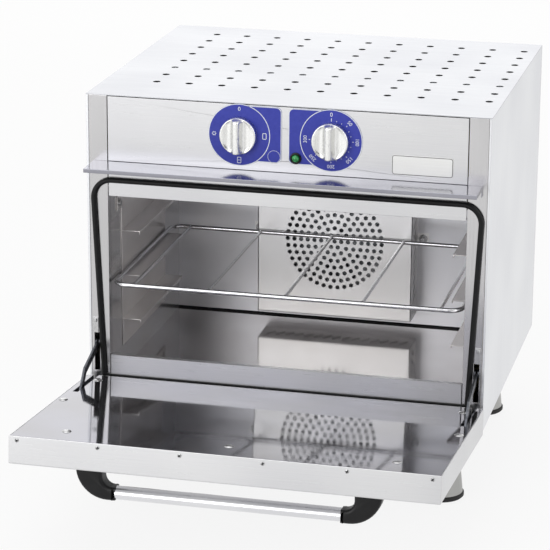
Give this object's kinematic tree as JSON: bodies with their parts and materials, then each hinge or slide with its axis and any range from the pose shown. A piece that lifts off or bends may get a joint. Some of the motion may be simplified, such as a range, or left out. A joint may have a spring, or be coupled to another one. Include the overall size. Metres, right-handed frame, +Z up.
{
  "type": "countertop convection oven",
  "caption": "Countertop convection oven in stainless sheet with its drop-down door open, turning knobs, a sliding wire shelf, a spinning fan and linked door stays, on tall feet.",
  "frame": {"origin": "on the surface the feet stand on, in the middle of the outline seen from above with the door open", "axes": "+X to the right seen from the front, +Y from the front to the back, +Z up"},
  "size_m": [0.604, 0.8966, 0.601],
  "materials": {
    "case_steel": "brushed stainless sheet",
    "polished_steel": "bright polished stainless sheet",
    "zinc_sheet": "zinc coated sheet",
    "hinge_steel": "zinc plated",
    "bright_wire": "bright wire",
    "screw_steel": "bright stainless",
    "handle_steel": "polished stainless tube",
    "black_plastic": "fine matt",
    "seal_rubber": "matt silicone",
    "foot_rubber": "matt",
    "wool": "mineral wool",
    "knob_metal": "satin",
    "dial_blue": "printed satin",
    "plate_metal": "bare satin",
    "lamp_lens": "clear tinted",
    "element_sheath": "oxidised sheath",
    "motor_metal": "cast and pressed",
    "terminal_plastic": "off-white"
  },
  "bodies": {
    "oven_body": {"back_panel": "case_steel", "back_screws": "screw_steel", "baffle_nuts": "screw_steel", "base_pan": "zinc_sheet", "body_wool": "wool", "cable_gland": "black_plastic", "canopy": "case_steel", "cavity_ceiling": "polished_steel", "cavity_floor": "polished_steel", "cavity_rear": "polished_steel", "cavity_walls": "polished_steel", "control_panel": "case_steel", "cross_brace": "zinc_sheet", "dial_plate_left": "dial_blue", "dial_plate_right": "dial_blue", "door_gasket": "seal_rubber", "door_sill": "case_steel", "fan_baffle": "polished_steel", "fan_motor": "motor_metal", "feet": "case_steel", "foot_pads": "foot_rubber", "foot_studs": "zinc_sheet", "front_header": "case_steel", "function_switch": "black_plastic", "heating_element": "element_sheath", "hinge_arms": "hinge_steel", "hinge_pins": "hinge_steel", "lamp_bezel": "black_plastic", "lamp_lens": "lamp_lens", "motor_mount": "zinc_sheet", "name_plate": "plate_metal", "pillar_left": "case_steel", "pillar_right": "case_steel", "rack_ledges_left": "polished_steel", "rack_ledges_right": "polished_steel", "rack_pins": "screw_steel", "rack_plates": "polished_steel", "side_panel_left": "case_steel", "side_panel_right": "case_steel", "stay_guides": "hinge_steel", "terminal_block": "terminal_plastic", "thermostat": "black_plastic", "top_cover": "case_steel"},
    "door": {"door_outer": "case_steel", "door_inner": "polished_steel", "door_wool": "wool", "door_screws": "screw_steel", "hinge_channels": "hinge_steel", "stay_pins": "hinge_steel", "handle_bar": "handle_steel", "handle_bracket_left": "black_plastic", "handle_bracket_right": "black_plastic"},
    "stay_left": {"stay_arm_left": "hinge_steel"},
    "stay_right": {"stay_arm_right": "hinge_steel"},
    "function_knob": {"function_knob": "knob_metal"},
    "thermostat_knob": {"thermostat_knob": "knob_metal"},
    "fan": {"fan_impeller": "motor_metal"},
    "shelf": {"shelf_frame": "bright_wire", "shelf_rods": "bright_wire"}
  },
  "joints": [
    {"name": "door_hinge", "type": "hinge", "parent": "oven_body", "child": "door", "pos_m": [0, -0.10872, 0.1505], "axis": [1, 0, 0], "range_deg": [-84.7, 0]},
    {"name": "stay_left_pivot", "type": "hinge", "parent": "door", "child": "stay_left", "pos_m": [-0.288, -0.16975, 0.16379], "axis": [1, 0, 0], "range_deg": [0, 26.5]},
    {"name": "stay_right_pivot", "type": "hinge", "parent": "door", "child": "stay_right", "pos_m": [0.288, -0.16975, 0.16379], "axis": [1, 0, 0], "range_deg": [0, 26.5]},
    {"name": "function_knob_turn", "type": "hinge", "parent": "oven_body", "child": "function_knob", "pos_m": [-0.068, -0.08312, 0.5537], "axis": [0, 1, 0], "range_deg": [0, 270]},
    {"name": "thermostat_knob_turn", "type": "hinge", "parent": "oven_body", "child": "thermostat_knob", "pos_m": [0.068, -0.08312, 0.5537], "axis": [0, 1, 0], "range_deg": [0, 270]},
    {"name": "shelf_slide", "type": "slide", "parent": "oven_body", "child": "shelf", "axis": [0, -1, 0], "range_m": [0, 0.34]},
    {"name": "fan_spin", "type": "hinge", "parent": "oven_body", "child": "fan", "pos_m": [0.0035, 0.30238, 0.3027], "axis": [0, 1, 0], "continuous": true}
  ],
  "couplings": [
    {"joint": "stay_left_pivot", "follows": "door_hinge", "ratio": -0.3127},
    {"joint": "stay_right_pivot", "follows": "door_hinge", "ratio": -0.3127}
  ]
}
